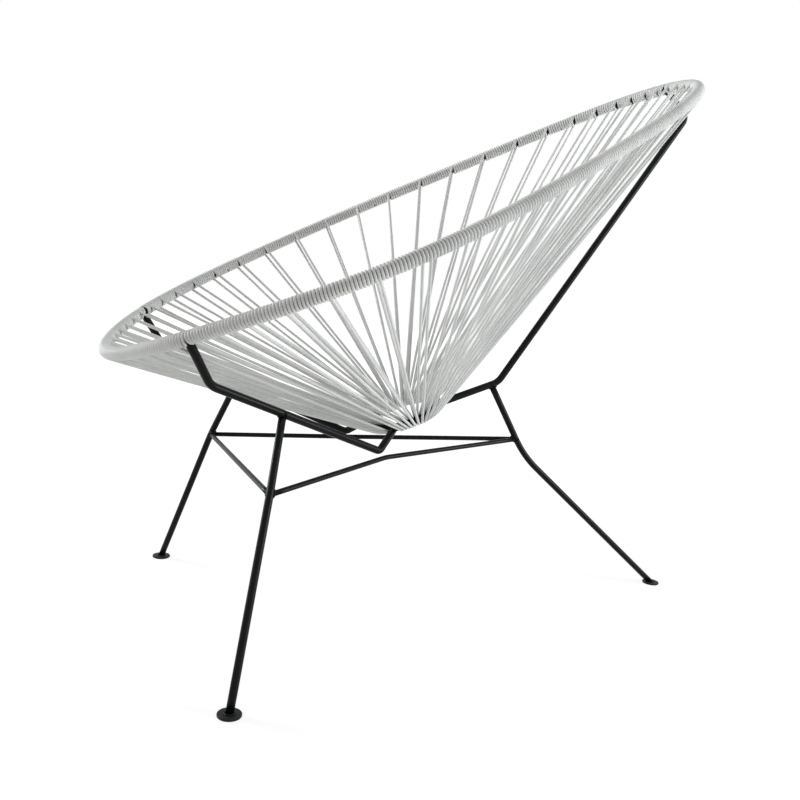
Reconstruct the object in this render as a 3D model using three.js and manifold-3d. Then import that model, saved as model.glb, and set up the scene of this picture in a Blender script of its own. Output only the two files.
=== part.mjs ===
// Acapulco chair: a welded rod frame on three splayed legs, with a shell of cord strung between a
// wrapped, egg-shaped rim and a small ring under the seat.
// Millimetres, +Z up, the sitter faces -Y. The frame stands at the middle of its own footprint.

import * as THREE from 'three';
import { mergeVertices } from 'three/addons/utils/BufferGeometryUtils.js';
import Module from 'manifold-3d';

// Round stock and cord
const frameRodRadius = 5;
const stretcherRodRadius = 3;
const cordRadius = 2;
const fitGap = 0.3;

// Seat rim, as centre lines of its rod
const rimHalfWidth = 340;
const rimHalfLength = 421;
const rimFrontHeight = 377;
const rimBackHeight = 842;
const rimWidthShares = [1, 0.013, 0.011, -0.015, 0.01];
const rimLengthShares = [-0.093, -0.961, 0.086, -0.039, 0.007];
const rimRiseShares = [0.45, -0.475, 0.048, -0.023, 0.002, -0.002];

// Places on the rim where a cord leaves for the ring, close together at the front and the back
const stationCount = 60;
const armStation = 8;
const armOffsetShare = 0.1;
const tipSpacingShare = 0.44;
const spacingRiseShares = [0.22, 0.53];
const spacingFallShares = [0.71, 0.94];
const spacingSteps = 600;
const wrapPitch = 4.3;
const weldWindow = 9.5;

// Lengths of cord, each between two edges on the rim; the sitter's left is +X
const cordEdges = {
  front_right: [-8, -3],
  front_middle: [-3, 3],
  front_left: [3, 8],
  left_1: [8, 13],
  left_2: [13, 18],
  left_3: [18, 24],
  left_4: [24, 30],
  right_4: [30, 36],
  right_3: [36, 42],
  right_2: [42, 47],
  right_1: [47, 52],
};

// Small ring under the seat that gathers the cords
const ringRadius = 54;
const ringBack = 8.5;
const ringHeight = 304;
const ringTilt = THREE.MathUtils.degToRad(25);
const armRingAngle = THREE.MathUtils.degToRad(50.8);
const armToFrontCordGap = 1.3;
const armToSideCordGap = 0.35;
const loopSteps = 4;

// Front arms, from the rim down to an elbow, in to a heel and up to the ring
const elbowIn = 32.7;
const elbowBack = 35.3;
const elbowDrop = 56.9;
const elbowBend = 30;
const heelOut = 28.7;
const heelForward = 34;
const heelDrop = 29.7;
const heelBend = 11;

// Back arm, from under the ring out to an elbow, up behind the cords and over to the rim
const backArmTail = 8;
const backElbowRun = 104.1;
const backElbowRise = 37.7;
const backElbowBend = 30;
const backHeadBehind = 49;
const backHeadBelow = 36;
const backHeadBend = 14;

// Legs, from a share of the way along each arm to a knee and on to the floor
const frontLegArmShare = 0.3825;
const kneeOut = 50.9;
const kneeForward = 24.4;
const kneeDrop = 90.6;
const kneeBend = 160;
const frontFootSpread = 87.6;
const frontFootForward = 54.2;
const backLegArmShare = 0.886;
const backKneeRun = 73.7;
const backKneeDrop = 114.6;
const backKneeBend = 200;
const backFootRun = 297.9;
const backStretcherDrop = 103.6;

// Stretchers between the knees, and discs under the feet
const stretcherBowShare = 0.46;
const stretcherBow = 30;
const stretcherLift = 5;
const stretcherBend = 60;
const stretcherSplit = 1.5;
const footRadius = 14.3;
const footThickness = 3;

// Facets
const rodSides = 12;
const thinSides = 8;
const cordSides = 8;
const bendSteps = 4;
const ringSegments = 36;
const discSides = 24;

const powderBlack = { color: 0x1b1d1e, roughness: 0.42, metalness: 0.25 };
const cordGrey = { color: 0xbdbdb9, roughness: 0.5, metalness: 0 };

const up = new THREE.Vector3(0, 0, 1);
const point = (x, y, z) => new THREE.Vector3(x, y, z);
const heading = (from, to) => to.clone().sub(from).normalize();
const stepped = (from, direction, distance) => from.clone().addScaledVector(direction, distance);
const mirrored = (points) => points.map((p) => point(-p.x, p.y, p.z));

// A path that is sampled exactly at its own points; its last section can be turned to a given direction
class CornerPath extends THREE.Curve {
  constructor(points, endDirection = null) {
    super();
    this.points = points;
    this.endDirection = endDirection;
  }

  getPoint(t, target = new THREE.Vector3()) {
    const last = this.points.length - 1;
    const index = Math.min(Math.floor(t * last), last - 1);
    return target.lerpVectors(this.points[index], this.points[index + 1], t * last - index);
  }

  getPointAt(u, target) {
    return this.getPoint(u, target);
  }

  getTangentAt(u, target = new THREE.Vector3()) {
    const last = this.points.length - 1;
    const index = Math.round(u * last);
    target.set(0, 0, 0);
    if (index === last && this.endDirection) return target.copy(this.endDirection);
    if (index > 0) target.add(heading(this.points[index - 1], this.points[index]));
    if (index < last) target.add(heading(this.points[index], this.points[index + 1]));
    return target.normalize();
  }
}

// A round bar of one radius along a list of points, with flat ends
function bar(points, radius, sides, endDirection = null) {
  const outline = Array.from({ length: sides }, (_, side) => {
    const angle = (2 * Math.PI * side) / sides;
    return new THREE.Vector2(radius * Math.cos(angle), radius * Math.sin(angle));
  });
  return new THREE.ExtrudeGeometry(new THREE.Shape(outline), {
    steps: points.length - 1,
    bevelEnabled: false,
    extrudePath: new CornerPath(points, endDirection),
  });
}

// Straight runs between corners, each inner corner rounded to its own bend radius
function bentLine(corners, bends) {
  const points = [corners[0]];
  bends.forEach((bend, i) => {
    const corner = corners[i + 1];
    const before = heading(corners[i], corner);
    const after = heading(corner, corners[i + 2]);
    const turn = before.angleTo(after);
    const inward = stepped(after, before, -after.dot(before)).normalize();
    const centre = stepped(stepped(corner, before, -bend * Math.tan(turn / 2)), inward, bend);
    for (let step = 0; step <= bendSteps; step += 1) {
      const angle = (turn * step) / bendSteps;
      const onArc = stepped(centre, inward, -bend * Math.cos(angle));
      points.push(stepped(onArc, before, bend * Math.sin(angle)));
    }
  });
  points.push(corners[corners.length - 1]);
  return points;
}

// How far a flat-ended bar stops short of the middle of the round body that it butts against
function buttSetback(direction, bodyDirection, endRadius, bodyRadius) {
  const cosine = Math.abs(direction.dot(bodyDirection));
  const sine = Math.sqrt(1 - cosine * cosine);
  return (bodyRadius + fitGap + endRadius * cosine) / sine;
}

// A closed body whose skin runs through a loop of equal outlines
function loopBody(outlines) {
  const sides = outlines[0].length;
  const index = [];
  outlines.forEach((_, i) => {
    const here = i * sides;
    const next = ((i + 1) % outlines.length) * sides;
    for (let j = 0; j < sides; j += 1) {
      const k = (j + 1) % sides;
      index.push(here + j, next + j, next + k, here + j, next + k, here + k);
    }
  });
  const geometry = new THREE.BufferGeometry().setFromPoints(outlines.flat());
  return geometry.setIndex(index);
}

// The rim's centre line, as sums of a few waves round the loop from the front tip over +X
class RimCurve extends THREE.Curve {
  getPoint(t, target = new THREE.Vector3()) {
    const angle = 2 * Math.PI * t;
    const sines = rimWidthShares.reduce((sum, share, k) => sum + share * Math.sin((k + 1) * angle), 0);
    const wave = (shares) => shares.reduce((sum, share, k) => sum + share * Math.cos(k * angle), 0);
    const rise = (rimBackHeight - rimFrontHeight) * wave(rimRiseShares);
    return target.set(rimHalfWidth * sines, rimHalfLength * wave(rimLengthShares), rimFrontHeight + rise);
  }
}

const rimCurve = new RimCurve();
rimCurve.arcLengthDivisions = 12 * stationCount;
const halfCount = stationCount / 2;

// Share of the half rim's length, from the front tip, at a share of the stations
function stationLengthShare(stationShare) {
  let total = 0;
  let reached = 0;
  for (let step = 0; step < spacingSteps; step += 1) {
    const at = (step + 0.5) / spacingSteps;
    const rising = THREE.MathUtils.smoothstep(at, ...spacingRiseShares);
    const falling = 1 - THREE.MathUtils.smoothstep(at, ...spacingFallShares);
    const spacing = tipSpacingShare + (1 - tipSpacingShare) * rising * falling;
    total += spacing;
    reached += spacing * THREE.MathUtils.clamp(stationShare * spacingSteps - step, 0, 1);
  }
  return reached / total;
}

const rimStations = Array.from({ length: stationCount }, (_, k) => {
  const station = k + 0.5;
  const nearer = Math.min(station, stationCount - station);
  const share = stationLengthShare(nearer / halfCount) / 2;
  return rimCurve.getPointAt(station < halfCount ? share : 1 - share);
});

// The rim is bent straight from station to station; stations lie at half numbers, and run on past a lap
function rimAt(station) {
  const before = Math.floor(station - 0.5);
  const wrap = (k) => rimStations[(k + 2 * stationCount) % stationCount];
  const part = station - 0.5 - before;
  const place = wrap(before).clone().lerp(wrap(before + 1), part);
  const along = heading(wrap(before), wrap(before + 1));
  if (part === 0) along.add(heading(wrap(before - 1), wrap(before))).normalize();
  return { place, along };
}

const rimPlaneNormal = point(0, rimFrontHeight - rimBackHeight, 2 * rimHalfLength).normalize();

// A ring of points round the rim at a station
function rimSection(station, radius, sides) {
  const { place, along } = rimAt(station);
  const outward = along.clone().cross(rimPlaneNormal).normalize();
  const upward = outward.clone().cross(along);
  return Array.from({ length: sides }, (_, side) => {
    const angle = (2 * Math.PI * side) / sides;
    return stepped(stepped(place, outward, radius * Math.cos(angle)), upward, radius * Math.sin(angle));
  });
}

function rimRod() {
  return loopBody(rimStations.map((_, k) => rimSection(k + 0.5, frameRodRadius, cordSides)));
}

const wrapOuterRadius = frameRodRadius + 2 * cordRadius;
const wrapInnerRadius = frameRodRadius + fitGap / Math.cos(Math.PI / cordSides);

// One stretch of close turns round the rim rod, between two edges, kept off any arm that is welded there
function rimWrap(fromEdge, toEdge) {
  const chord = (edge) => rimAt(edge - 0.5).place.distanceTo(rimAt(edge + 0.5).place);
  const isWeld = (edge) => [-armStation, armStation, halfCount, stationCount - armStation].includes(edge);
  const inset = (edge) => (isWeld(edge) ? weldWindow : fitGap) / chord(edge);
  const stops = [fromEdge + inset(fromEdge)];
  for (let station = fromEdge + 0.5; station < toEdge; station += 1) stops.push(station);
  stops.push(toEdge - inset(toEdge));
  const outside = stops.map((station) => rimSection(station, wrapOuterRadius, cordSides));
  const inside = stops.map((station) => rimSection(station, wrapInnerRadius, cordSides));
  return loopBody([...outside, ...inside.reverse()]);
}

// The small ring's own directions and places
const ringAxis = point(0, -Math.sin(ringTilt), Math.cos(ringTilt));
const ringBackward = point(0, Math.cos(ringTilt), Math.sin(ringTilt));
const ringCentre = point(0, ringBack, ringHeight);

function ringAt(angle) {
  const outward = stepped(point(Math.sin(angle), 0, 0), ringBackward, -Math.cos(angle));
  return { place: stepped(ringCentre, outward, ringRadius), outward, along: ringAxis.clone().cross(outward) };
}

// Angle on the ring where a station's cord goes round it, spread clear of the three arms
function ringAngleAt(station) {
  const lap = station > halfCount ? station - stationCount : station;
  const side = Math.abs(lap);
  const windowWith = (gap) => (frameRodRadius + cordRadius + gap) / ringRadius;
  const frontSpan = armRingAngle - windowWith(armToFrontCordGap);
  const sideStart = armRingAngle + windowWith(armToSideCordGap);
  const sideSpan = Math.PI - windowWith(armToSideCordGap) - sideStart;
  const sideShare = (side - armStation - 0.5) / (halfCount - armStation - 1);
  const sideAngle = sideStart + sideShare * sideSpan;
  const frontAngle = (frontSpan * side) / (armStation - 0.5);
  return Math.sign(lap) * (side < armStation ? frontAngle : sideAngle);
}

// The part of a direction that is square to a rod
const across = (direction, along) => stepped(direction, along, -direction.dot(along)).normalize();

// One pass of cord: off the under side of the rim, round the ring, and back over the rim's upper side
const loopRadius = (frameRodRadius + fitGap + cordRadius) / Math.cos(Math.PI / loopSteps / 2);
const wrapMiddleRadius = wrapInnerRadius + cordRadius;

function seatCordPoints(station) {
  const rim = rimAt(station);
  const ring = ringAt(ringAngleAt(station));
  const toRim = heading(ring.place, rim.place);
  const flat = across(toRim, ring.along);
  const over = flat.clone().cross(ring.along).normalize();
  if (over.dot(ringAxis) < 0) over.negate();
  const loop = Array.from({ length: loopSteps + 1 }, (_, step) => {
    const angle = (Math.PI * step) / loopSteps;
    const beside = stepped(ring.place, over, loopRadius * Math.cos(angle));
    return stepped(beside, flat, -loopRadius * Math.sin(angle));
  });
  const overRim = across(toRim, rim.along).cross(rim.along).normalize();
  if (overRim.dot(over) < 0) overRim.negate();
  const ends = [1, -1].map((side) => {
    const beside = stepped(rim.place, overRim, side * wrapMiddleRadius);
    return stepped(beside, rim.along, (side * wrapPitch) / 4);
  });
  return [ends[0], ...loop, ends[1]];
}

const wasm = await Module();
wasm.setup();

function toSolid(geometry) {
  geometry.deleteAttribute('normal');
  geometry.deleteAttribute('uv');
  const merged = mergeVertices(geometry);
  const vertProperties = new Float32Array(merged.attributes.position.array);
  const triVerts = new Uint32Array(merged.index.array);
  return new wasm.Manifold(new wasm.Mesh({ numProp: 3, vertProperties, triVerts }));
}

function toGeometry(solid) {
  const mesh = solid.getMesh();
  const geometry = new THREE.BufferGeometry();
  geometry.setAttribute('position', new THREE.BufferAttribute(mesh.vertProperties, 3));
  return geometry.setIndex(new THREE.BufferAttribute(mesh.triVerts, 1));
}

// One length of cord: its turns on the rim, joined to each pass that it makes to the ring
function cordLength(fromEdge, toEdge) {
  let solid = toSolid(rimWrap(fromEdge, toEdge));
  for (let station = fromEdge + 0.5; station < toEdge; station += 1) {
    solid = solid.add(toSolid(bar(seatCordPoints(station), cordRadius, cordSides)));
  }
  return toGeometry(solid);
}

function lowerRing() {
  const ring = new THREE.TorusGeometry(ringRadius, frameRodRadius, rodSides, ringSegments);
  ring.rotateX(ringTilt);
  return ring.translate(ringCentre.x, ringCentre.y, ringCentre.z);
}

// Corners of the left front arm, with its ends cut back from the rim and the ring
const frontArmRim = rimAt(armStation + armOffsetShare);
const frontArmRing = ringAt(armRingAngle);
const elbow = frontArmRim.place.clone().add(point(-elbowIn, elbowBack, -elbowDrop));
const heel = frontArmRing.place.clone().add(point(heelOut, -heelForward, -heelDrop));

function frontArmPoints() {
  const intoRim = heading(elbow, frontArmRim.place);
  const intoRing = heading(heel, frontArmRing.place);
  const rimCut = buttSetback(intoRim, frontArmRim.along, frameRodRadius, frameRodRadius);
  // The ring curves away from the flat end, so it is cut back by the gap less
  const ringCut = buttSetback(intoRing, frontArmRing.along, frameRodRadius, frameRodRadius) - fitGap;
  const top = stepped(frontArmRim.place, intoRim, -rimCut);
  const tail = stepped(frontArmRing.place, intoRing, -ringCut);
  return bentLine([top, elbow, heel, tail], [elbowBend, heelBend]);
}

// Corners of the back arm, which laps under the ring and butts against the rim's back tip
const backArmRim = rimAt(halfCount);
const backRingPlace = ringAt(Math.PI).place;
const backArmStart = stepped(backRingPlace, ringAxis, -2 * frameRodRadius - fitGap);
const backElbow = backArmStart.clone().add(point(0, backElbowRun, backElbowRise));
const backHead = backArmRim.place.clone().add(point(0, backHeadBehind, -backHeadBelow));

function backArmPoints() {
  const outward = heading(backArmStart, backElbow);
  const intoRim = heading(backHead, backArmRim.place);
  const rimCut = buttSetback(intoRim, backArmRim.along, frameRodRadius, frameRodRadius);
  const tail = stepped(backArmStart, outward, -backArmTail);
  const top = stepped(backArmRim.place, intoRim, -rimCut);
  return bentLine([tail, backElbow, backHead, top], [backElbowBend, backHeadBend]);
}

// A leg from under its arm, over its knee, down to the top of its foot disc
function legPoints(armStart, armEnd, armShare, knee, foot, bend) {
  const onArm = armStart.clone().lerp(armEnd, armShare);
  const upLeg = heading(knee, onArm);
  const cut = buttSetback(upLeg, heading(armStart, armEnd), frameRodRadius, frameRodRadius);
  return bentLine([stepped(onArm, upLeg, -cut), knee, foot], [bend]);
}

const footTop = footThickness + fitGap;
const frontLegHead = elbow.clone().lerp(heel, frontLegArmShare);
const frontKnee = frontLegHead.clone().add(point(kneeOut, -kneeForward, -kneeDrop));
const frontFoot = point(frontKnee.x + frontFootSpread, frontKnee.y - frontFootForward, footTop);
const frontLegLine = legPoints(elbow, heel, frontLegArmShare, frontKnee, frontFoot, kneeBend);
const backLegHead = backArmStart.clone().lerp(backElbow, backLegArmShare);
const backKnee = backLegHead.clone().add(point(0, backKneeRun, -backKneeDrop));
const backFoot = point(0, backKnee.y + backFootRun, footTop);
const backLegLine = legPoints(backArmStart, backElbow, backLegArmShare, backKnee, backFoot, backKneeBend);

// Where the stretchers meet the legs: the middle of each front knee, and a little above the back one
const kneeMiddle = 1 + bendSteps / 2;
const frontMeet = frontLegLine[kneeMiddle];
const frontLegRun = heading(frontLegLine[kneeMiddle - 1], frontLegLine[kneeMiddle + 1]);
const backLegRun = heading(backLegHead, backKnee);
const backMeet = stepped(backLegHead, backLegRun, backStretcherDrop).add(point(stretcherSplit, 0, 0));

// A side stretcher, bowed in towards the middle of the chair
function sideStretcherPoints() {
  const inward = up.clone().cross(heading(frontMeet, backMeet)).normalize();
  const middle = frontMeet.clone().lerp(backMeet, stretcherBowShare);
  const bow = stepped(stepped(middle, inward, stretcherBow), up, stretcherLift);
  const cutEnd = (meet, legRun) => {
    const towardsBow = heading(meet, bow);
    const cut = buttSetback(towardsBow, legRun, stretcherRodRadius, frameRodRadius);
    return stepped(meet, towardsBow, cut);
  };
  return bentLine([cutEnd(frontMeet, frontLegRun), bow, cutEnd(backMeet, backLegRun)], [stretcherBend]);
}

function frontStretcherPoints() {
  const across = point(-1, 0, 0);
  const cut = buttSetback(across, frontLegRun, stretcherRodRadius, frameRodRadius);
  const start = stepped(frontMeet, across, cut);
  return [start, point(-start.x, start.y, start.z)];
}

function footDisc(foot) {
  const disc = new THREE.CylinderGeometry(footRadius, footRadius, footThickness, discSides);
  disc.rotateX(Math.PI / 2);
  return disc.translate(foot.x, foot.y, footThickness / 2);
}

// Least room between the loops of neighbouring cords, measured on their points
function leastLoopGap() {
  const gaps = rimStations.map((_, k) => {
    const here = seatCordPoints(k + 0.5).slice(1, -1);
    const next = seatCordPoints(k + 1.5).slice(1, -1);
    return Math.min(...here.flatMap((a) => next.map((b) => a.distanceTo(b)))) - 2 * cordRadius;
  });
  return Math.min(...gaps);
}
console.log(`least gap between neighbouring cord loops: ${leastLoopGap().toFixed(2)} mm`);

const chair = new THREE.Group();

function add(name, geometry, finish) {
  const mesh = new THREE.Mesh(geometry, new THREE.MeshStandardMaterial(finish));
  mesh.name = name;
  chair.add(mesh);
}

add('rim_rod', rimRod(), powderBlack);
add('lower_ring', lowerRing(), powderBlack);

Object.entries(cordEdges).forEach(([name, edges]) => {
  add(`cord_${name}`, cordLength(...edges), cordGrey);
});

add('front_arm_left', bar(frontArmPoints(), frameRodRadius, rodSides), powderBlack);
add('front_arm_right', bar(mirrored(frontArmPoints()), frameRodRadius, rodSides), powderBlack);
add('back_arm', bar(backArmPoints(), frameRodRadius, rodSides), powderBlack);

const down = up.clone().negate();
add('front_leg_left', bar(frontLegLine, frameRodRadius, rodSides, down), powderBlack);
add('front_leg_right', bar(mirrored(frontLegLine), frameRodRadius, rodSides, down), powderBlack);
add('back_leg', bar(backLegLine, frameRodRadius, rodSides, down), powderBlack);

add('stretcher_left', bar(sideStretcherPoints(), stretcherRodRadius, thinSides), powderBlack);
add('stretcher_right', bar(mirrored(sideStretcherPoints()), stretcherRodRadius, thinSides), powderBlack);
add('stretcher_front', bar(frontStretcherPoints(), stretcherRodRadius, thinSides), powderBlack);

add('foot_disc_left', footDisc(frontFoot), powderBlack);
add('foot_disc_right', footDisc(mirrored([frontFoot])[0]), powderBlack);
add('foot_disc_back', footDisc(backFoot), powderBlack);

// Stand the chair with the middle of its footprint on the origin
const bounds = new THREE.Box3().setFromObject(chair);
chair.position.y = -(bounds.min.y + bounds.max.y) / 2;

export default chair;
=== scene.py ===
"""Looks of the Acapulco chair: one cord wound on an egg-shaped rim and strung to a small ring.

Metres, +Z up, the sitter faces -Y and the sitter's left is +X. The rods, the cord and the feet
are drawn finer than the solids they replace, along the same centre lines.
"""

from __future__ import annotations

import logging
import math
from dataclasses import dataclass, field
from enum import Enum

import bpy
import numpy as np
from mathutils import Matrix, Vector

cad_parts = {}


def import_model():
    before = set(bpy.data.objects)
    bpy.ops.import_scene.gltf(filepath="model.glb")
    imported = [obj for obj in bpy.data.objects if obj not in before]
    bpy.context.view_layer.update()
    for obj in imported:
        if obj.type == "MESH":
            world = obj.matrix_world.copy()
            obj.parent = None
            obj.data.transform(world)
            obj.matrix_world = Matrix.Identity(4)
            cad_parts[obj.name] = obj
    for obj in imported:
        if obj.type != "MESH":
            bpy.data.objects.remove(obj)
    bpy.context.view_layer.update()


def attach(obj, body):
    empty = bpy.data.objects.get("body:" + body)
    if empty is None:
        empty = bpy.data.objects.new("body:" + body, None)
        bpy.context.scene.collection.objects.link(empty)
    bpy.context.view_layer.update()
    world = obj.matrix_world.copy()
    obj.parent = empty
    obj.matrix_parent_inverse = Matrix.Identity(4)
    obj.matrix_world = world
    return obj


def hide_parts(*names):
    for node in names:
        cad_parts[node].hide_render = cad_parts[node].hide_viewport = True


log = logging.getLogger("chair")

Array = np.ndarray
Triple = tuple[float, float, float]
Pair = tuple[float, float]

UP = np.array([0.0, 0.0, 1.0])
SIDEWAYS = np.array([1.0, 0.0, 0.0])
BODY = "root"

# Above this height, a unit direction is too near upright to be seeded with UP
STEEP = 0.9
# How far the rim and the ring are shifted forward to stand on the middle of the footprint
FORWARD_SHIFT = 0.055271
# Sockets of the Mix node when it mixes colours
MIX_SHARE, MIX_A, MIX_B, MIX_RESULT = 0, 6, 7, 2


class Slot(Enum):
    """The record's material slots."""

    SEAT_CORD = "seat_cord"
    FRAME_PAINT = "frame_paint"
    FOOT_PAINT = "foot_paint"


def vec(x: float, y: float, z: float) -> Array:
    """A point or a direction."""
    return np.array([x, y, z], dtype=float)


def unit(direction: Array) -> Array:
    """The same direction, one long."""
    return direction / np.linalg.norm(direction)


def across(direction: Array, along: Array) -> Array:
    """The part of a direction that is square to a rod, one long."""
    return unit(direction - along * float(direction @ along))


def mirrored(points: Array) -> Array:
    """The same points on the other side of the chair."""
    return np.asarray(points) * np.array([-1.0, 1.0, 1.0])


def lap_angles(count: int) -> Array:
    """Even angles once round, from nought."""
    return 2 * math.pi * np.arange(count) / count


def bent_line(corners: list[Array], bends: list[float], steps: int) -> Array:
    """Straight runs between corners, each inner corner rounded to its own radius.

    Args:
        corners: The line's ends and the corners between them.
        bends: A bend radius for each inner corner.
        steps: Points along each bend, less one.

    Returns:
        The points of the line, one a row.
    """
    points = [corners[0]]
    for last, corner, following, bend in zip(corners, corners[1:], corners[2:], bends):
        before = unit(corner - last)
        after = unit(following - corner)
        turn = math.acos(float(np.clip(before @ after, -1, 1)))
        inward = unit(after - before * float(after @ before))
        centre = corner - before * bend * math.tan(turn / 2) + inward * bend
        for angle in np.linspace(0, turn, steps + 1):
            out = before * bend * math.sin(angle)
            points.append(centre - inward * bend * math.cos(angle) + out)
    points.append(corners[-1])
    return np.array(points)


def subdivided(points: Array, longest: float) -> Array:
    """The same line with more points, so that no step is longer than given.

    Args:
        points: The line's points, one a row.
        longest: The longest step.

    Returns:
        The denser line.
    """
    dense = [points[0]]
    for start, end in zip(points, points[1:]):
        count = max(1, math.ceil(float(np.linalg.norm(end - start)) / longest))
        dense.extend(start + (end - start) * step / count for step in range(1, count + 1))
    return np.array(dense)


def tangents(points: Array, closed: bool) -> Array:
    """The direction of a line at each of its points.

    Args:
        points: The line's points, one a row.
        closed: Whether the line is a loop.

    Returns:
        Directions, one a row.
    """
    if closed:
        steps = np.roll(points, -1, axis=0) - points
        steps /= np.linalg.norm(steps, axis=1)[:, None]
        sums = steps + np.roll(steps, 1, axis=0)
    else:
        steps = np.diff(points, axis=0)
        steps /= np.linalg.norm(steps, axis=1)[:, None]
        sums = np.vstack([steps[:1], steps[:-1] + steps[1:], steps[-1:]])
    return sums / np.linalg.norm(sums, axis=1)[:, None]


def carried_normals(directions: Array, closed: bool) -> Array:
    """A side direction at each point of a line, turned no more than the line itself turns.

    Args:
        directions: The line's direction at each point.
        closed: Whether the line is a loop, whose last side direction has to meet its first.

    Returns:
        One side direction a row.
    """
    seed = UP if abs(directions[0][2]) < STEEP else SIDEWAYS
    normals = [across(seed, directions[0])]
    for direction in directions[1:]:
        normals.append(across(normals[-1], direction))
    normals = np.array(normals)
    if closed:
        last = across(normals[-1], directions[0])
        side = np.cross(directions[0], normals[0])
        twist = math.atan2(float(last @ side), float(last @ normals[0]))
        angles = -twist * np.arange(len(normals)) / len(normals)
        sides = np.cross(directions, normals)
        normals = normals * np.cos(angles)[:, None] + sides * np.sin(angles)[:, None]
    return normals


@dataclass
class Skin:
    """Vertices and faces of one mesh while it is made."""

    vertices: list[Array] = field(default_factory=list)
    faces: list[tuple[int, ...]] = field(default_factory=list)
    bevel_points: int = 4

    def _wrapped(self, rings: Array, closed: bool = False) -> Skin:
        """Adds faces over rings of vertices, with a flat end at each side unless it is a loop.

        Args:
            rings: The vertices, by ring, by place on the ring and by coordinate.
            closed: Whether the last ring meets the first.

        Returns:
            This skin, so that calls can follow each other.
        """
        start = sum(len(block) for block in self.vertices)
        count, sides = rings.shape[:2]
        self.vertices.append(rings.reshape(-1, 3))
        for ring in range(count if closed else count - 1):
            here = start + ring * sides
            there = start + ((ring + 1) % count) * sides
            for side in range(sides):
                beside = (side + 1) % sides
                self.faces.append((here + side, here + beside, there + beside, there + side))
        if not closed:
            last = start + (count - 1) * sides
            self.faces.append(tuple(start + side for side in reversed(range(sides))))
            self.faces.append(tuple(last + side for side in range(sides)))
        return self

    def tube(
        self,
        points: Array,
        radii: float | Array,
        sides: int,
        closed: bool = False,
        bevel: float = 0.0,
        cut: Array | None = None,
    ) -> Skin:
        """Adds a round tube along a line.

        Args:
            points: The centre line, one point a row.
            radii: One radius, or one for each point.
            sides: Vertices round the tube.
            closed: Whether the line is a loop. An open tube gets flat ends.
            bevel: How much the corner at each flat end is rounded.
            cut: The direction that the last end faces, where it is cut aslant.

        Returns:
            This skin, so that calls can follow each other.
        """
        radii = np.broadcast_to(np.asarray(radii, dtype=float), len(points))
        if bevel and not closed:
            points, radii = self._bevelled(points, radii, bevel)
        directions = tangents(points, closed)
        normals = carried_normals(directions, closed)
        others = np.cross(directions, normals)
        angles = lap_angles(sides)[None, :, None]
        circle = normals[:, None, :] * np.cos(angles) + others[:, None, :] * np.sin(angles)
        rings = points[:, None, :] + circle * radii[:, None, None]
        if cut is not None:
            beyond = (rings[-1] - points[-1]) @ cut / float(directions[-1] @ cut)
            rings[-1] -= directions[-1] * beyond[:, None]
        return self._wrapped(rings, closed)

    def _bevelled(
        self, points: Array, radii: Array, bevel: float
    ) -> tuple[Array, Array]:
        """The same line and radii, with both ends drawn in over a rounded corner.

        Args:
            points: The centre line, one point a row.
            radii: The radius at each point.
            bevel: How much the corner at each end is rounded.

        Returns:
            The new line and its radii.
        """
        first = unit(points[1] - points[0])
        last = unit(points[-1] - points[-2])
        angles = np.linspace(0, math.pi / 2, self.bevel_points)
        inset = bevel * (1 - np.sin(angles))
        drawn = bevel * (1 - np.cos(angles))
        head = np.array([points[0] + first * step for step in inset[::-1]])
        tail = np.array([points[-1] - last * step for step in inset])
        line = np.vstack([head, points[1:-1], tail])
        sizes = np.concatenate([radii[0] - drawn[::-1], radii[1:-1], radii[-1] - drawn])
        return line, sizes

    def lathe(self, profile: list[Pair], centre: Array, sides: int) -> Skin:
        """Adds a body turned about an upright axis.

        Args:
            profile: Radius and height of each corner, from the axis at the bottom to the top.
            centre: The point of the axis at height nought.
            sides: Vertices round the body.

        Returns:
            This skin, so that calls can follow each other.
        """
        angles = lap_angles(sides)
        rings = []
        for radius, height in profile:
            level = np.full(sides, height)
            ring = np.stack([radius * np.cos(angles), radius * np.sin(angles), level], axis=1)
            rings.append(centre + ring)
        return self._wrapped(np.array(rings))

    def build(self, name: str, material: bpy.types.Material) -> bpy.types.Object:
        """Makes the object and links it to the scene.

        Args:
            name: The piece's name.
            material: Its finish.

        Returns:
            The new object, at the origin.
        """
        mesh = bpy.data.meshes.new(name)
        mesh.from_pydata(np.vstack(self.vertices).tolist(), [], self.faces)
        mesh.update()
        corners_of_a_side = 4
        smooth = [len(face) == corners_of_a_side for face in self.faces]
        mesh.polygons.foreach_set("use_smooth", smooth)
        mesh.materials.append(material)
        return linked(name, mesh)


def linked(name: str, data: bpy.types.ID) -> bpy.types.Object:
    """Makes an object of a mesh, a lamp or a camera and links it to the scene.

    Args:
        name: The object's name.
        data: The mesh, lamp or camera.

    Returns:
        The new object, at the origin.
    """
    made = bpy.data.objects.new(name, data)
    bpy.context.scene.collection.objects.link(made)
    return made


def settle(piece: bpy.types.Object, slot: Slot, *nodes: str) -> None:
    """Puts a new piece on the chair in place of the solids that it stands for.

    Args:
        piece: The new piece.
        slot: Not used.
        nodes: The solids that it replaces, if any.
    """
    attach(piece, BODY)
    if nodes:
        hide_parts(*nodes)
    log.info("%s: %d vertices", piece.name, len(piece.data.vertices))


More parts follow.
